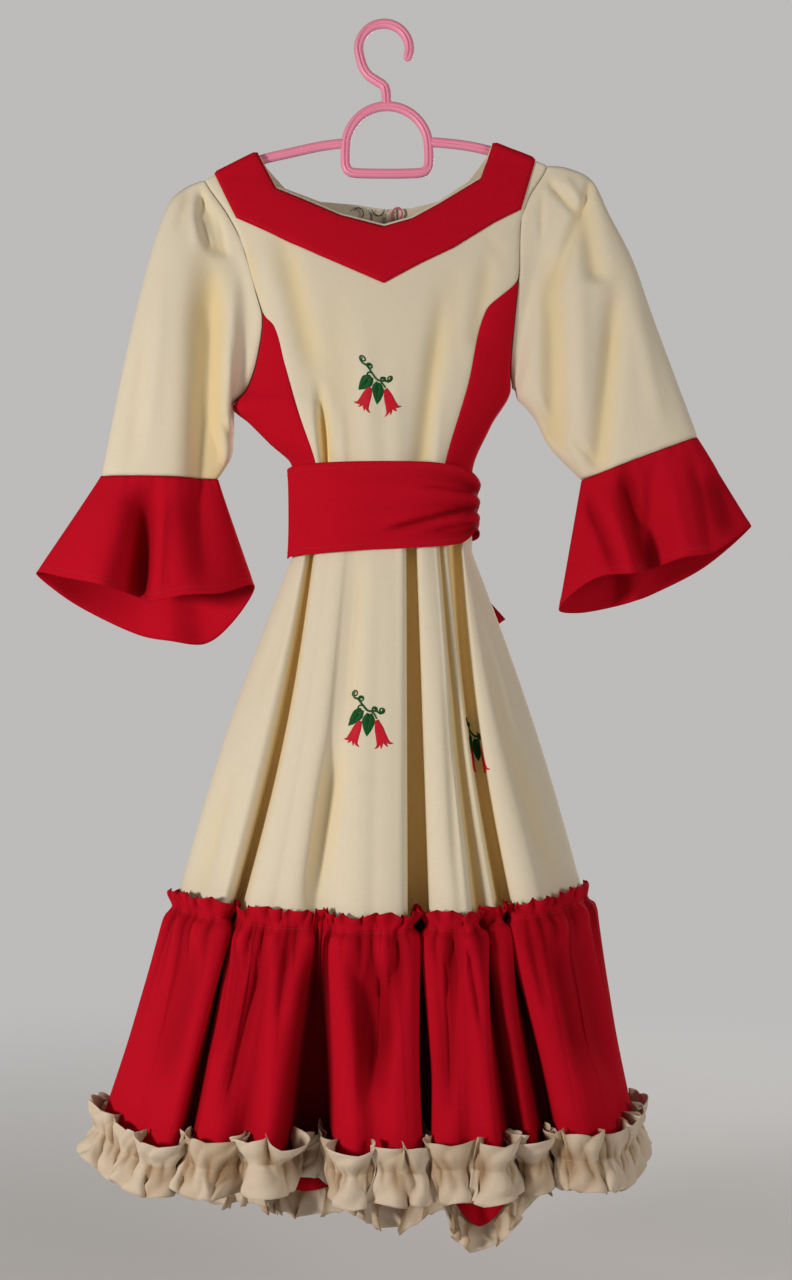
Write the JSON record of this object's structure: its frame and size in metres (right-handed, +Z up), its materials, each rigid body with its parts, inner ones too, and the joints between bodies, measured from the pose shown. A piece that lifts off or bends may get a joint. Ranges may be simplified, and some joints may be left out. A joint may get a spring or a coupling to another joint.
{
  "type": "girl's huasa folk dress on a plastic hanger",
  "caption": "Folk dress with princess bodice, pointed neck band, flared cuffs, gathered flounce, hem ruffle and back-tied sash, hung on a plastic hanger.",
  "frame": {"origin": "where the underside of the hanger's hook bears on what holds it", "axes": "+Z up, +Y away from the viewer through the back of the dress, +X to the viewer's right"},
  "size_m": [0.6874, 0.2179, 1.2169],
  "materials": {
    "cream_cloth": "matt plain-weave cream cloth with a faint sheen",
    "red_cloth": "matt plain-weave bright red cloth",
    "ruffle_cloth": "matt beige-cream cloth, gathered",
    "pink_plastic": "moulded pink plastic with a grooved face"
  },
  "bodies": {
    "root": {"bodice_front": "cream_cloth", "back_left": "cream_cloth", "back_right": "cream_cloth", "side_front_left": "red_cloth", "side_front_right": "red_cloth", "side_back_left": "red_cloth", "side_back_right": "red_cloth", "neck_band": "red_cloth", "sleeve_left": "cream_cloth", "sleeve_right": "cream_cloth", "cuff_left": "red_cloth", "cuff_right": "red_cloth", "skirt_front": "cream_cloth", "skirt_back_left": "cream_cloth", "skirt_back_right": "cream_cloth", "flounce_front": "red_cloth", "flounce_back": "red_cloth", "hem_ruffle_front": "ruffle_cloth", "hem_ruffle_back": "ruffle_cloth", "sash": "red_cloth", "sash_knot": "red_cloth", "sash_tail_left": "red_cloth", "sash_tail_right": "red_cloth", "hanger": "pink_plastic"}
  },
  "joints": []
}
